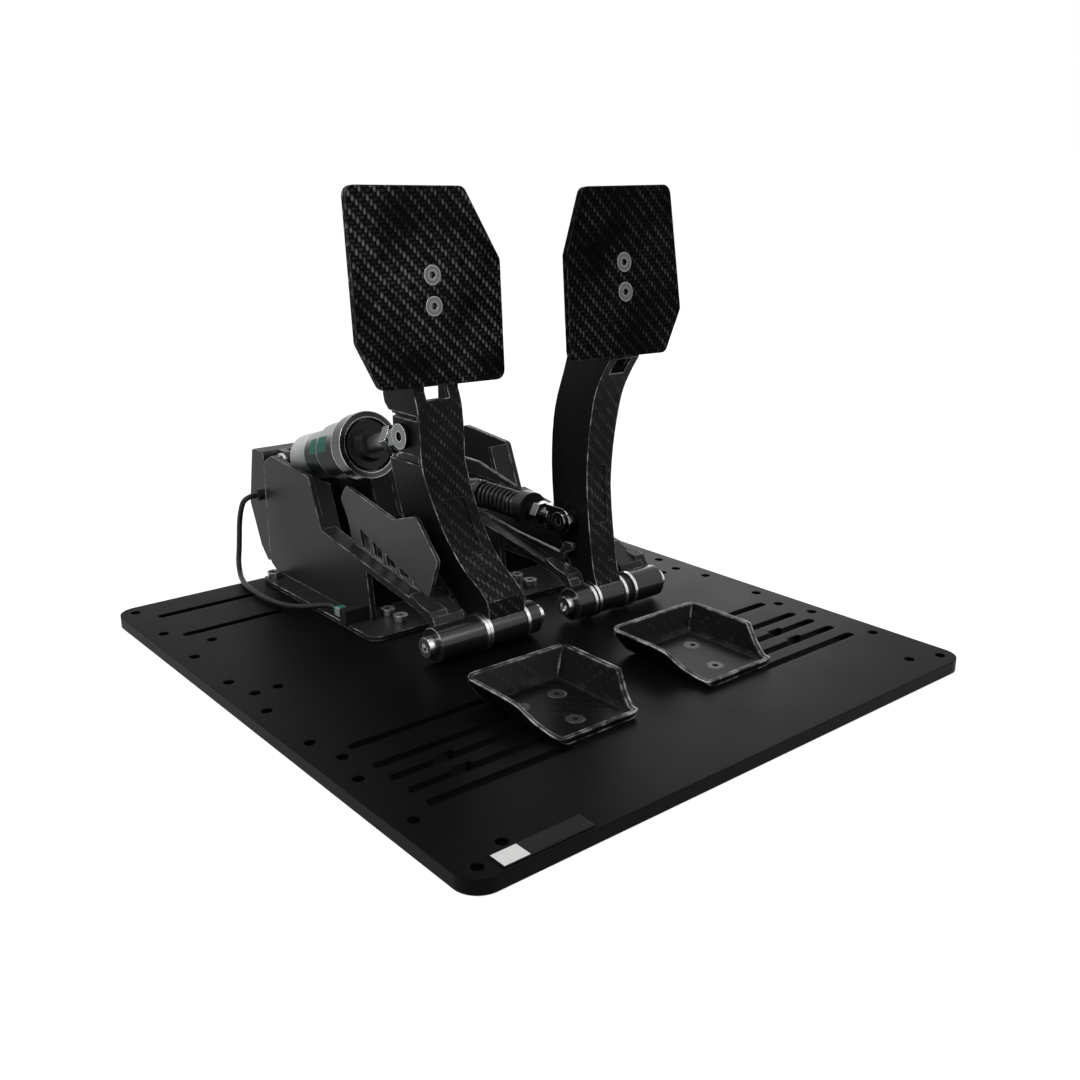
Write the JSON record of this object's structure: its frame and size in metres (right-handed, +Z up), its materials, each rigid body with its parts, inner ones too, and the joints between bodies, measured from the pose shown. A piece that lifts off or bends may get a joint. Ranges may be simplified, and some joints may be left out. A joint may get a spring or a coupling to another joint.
{
  "type": "sim racing pedal set",
  "caption": "Carbon brake and throttle pedals on a drilled black base plate, with an air damper behind the brake, a coil spring behind the throttle and tray-shaped heel rests.",
  "frame": {"origin": "centre of the base plate at its underside", "axes": "+X to the driver's right, +Y away from the driver, +Z up"},
  "size_m": [0.388, 0.4609, 0.2936],
  "materials": {
    "plate": "matte black powder coat",
    "carbon": "woven carbon in clear resin",
    "silver": "bright plated steel",
    "steel": "ground steel",
    "alu": "satin anodised",
    "black_alu": "black anodised",
    "sleeve": "clear grey sleeve",
    "spring": "black coated spring wire",
    "plastic": "black moulding",
    "plug": "white and green moulding",
    "board": "circuit board",
    "cable": "black cable jacket"
  },
  "bodies": {
    "base": {"base_plate": "plate", "brake_frame": "carbon", "throttle_frame": "carbon", "brake_bulkhead": "carbon", "throttle_bulkhead": "carbon", "brake_frame_bolts": "silver", "throttle_frame_bolts": "silver", "brake_pivot_shaft": "steel", "throttle_pivot_shaft": "steel", "brake_thrust_rings": "silver", "throttle_thrust_rings": "silver", "brake_pivot_screws": "silver", "throttle_pivot_screws": "silver", "damper_rear_pin": "silver", "damper_clevis": "black_alu", "brake_load_cell": "steel", "spring_anchor": "black_alu", "spring_rear_pin": "silver", "throttle_sensor": "plastic", "brake_heel_rest": "carbon", "throttle_heel_rest": "carbon", "heel_rest_screws": "steel", "control_board": "board", "cable_socket": "plastic", "cable_plug": "plug", "sensor_cable": "cable", "cable_gland": "plastic"},
    "brake_pedal": {"brake_arm": "carbon", "brake_bushes": "silver", "brake_face": "carbon", "brake_face_screws": "silver", "brake_pin": "silver", "brake_pin_spacers": "steel"},
    "damper_body": {"damper_can": "alu", "damper_collar": "alu", "damper_sleeve": "sleeve", "damper_seal_head": "black_alu", "damper_tail": "black_alu"},
    "damper_shaft": {"damper_eyelet": "alu", "damper_rod": "steel", "damper_lock_nut": "silver", "damper_piston": "steel"},
    "throttle_pedal": {"throttle_arm": "carbon", "throttle_bushes": "silver", "throttle_face": "carbon", "throttle_face_screws": "silver", "throttle_pin": "silver", "throttle_pin_washer": "silver", "throttle_magnet": "steel"},
    "spring_body": {"spring_guide": "black_alu", "throttle_spring": "spring"},
    "spring_plunger": {"spring_eye": "alu", "spring_rod": "steel", "spring_lock_nut": "silver", "spring_cap": "black_alu"}
  },
  "joints": [
    {"name": "brake_press", "type": "hinge", "parent": "base", "child": "brake_pedal", "pos_m": [-0.0198, -0.006, 0.0205], "axis": [-1, 0, 0], "range_deg": [0, 10], "stiffness_Nm_per_rad": 500, "springref_deg": -1.15},
    {"name": "damper_swing", "type": "hinge", "parent": "base", "child": "damper_body", "pos_m": [-0.046, 0.20849, 0.09511], "axis": [1, 0, 0], "range_deg": [0, 0.875]},
    {"name": "damper_stroke", "type": "slide", "parent": "damper_body", "child": "damper_shaft", "axis": [0, 0.9613, -0.2756], "range_m": [0, 0.0228]},
    {"name": "throttle_press", "type": "hinge", "parent": "base", "child": "throttle_pedal", "pos_m": [0.0706, -0.006, 0.0205], "axis": [-1, 0, 0], "range_deg": [0, 16], "stiffness_Nm_per_rad": 30, "springref_deg": -6.88},
    {"name": "spring_swing", "type": "hinge", "parent": "base", "child": "spring_body", "pos_m": [0.0536, 0.128, 0.072], "axis": [1, 0, 0], "range_deg": [0, 4.38]},
    {"name": "spring_stroke", "type": "slide", "parent": "spring_body", "child": "spring_plunger", "axis": [0, 1, -0.0089], "range_m": [0, 0.0137], "deforming": ["throttle_spring"]}
  ],
  "couplings": [
    {"joint": "damper_swing", "follows": "brake_press", "ratio": 0.0869},
    {"joint": "damper_stroke", "follows": "brake_press", "m_per_rad": 0.13028},
    {"joint": "spring_swing", "follows": "throttle_press", "ratio": 0.2719},
    {"joint": "spring_stroke", "follows": "throttle_press", "m_per_rad": 0.048778}
  ]
}
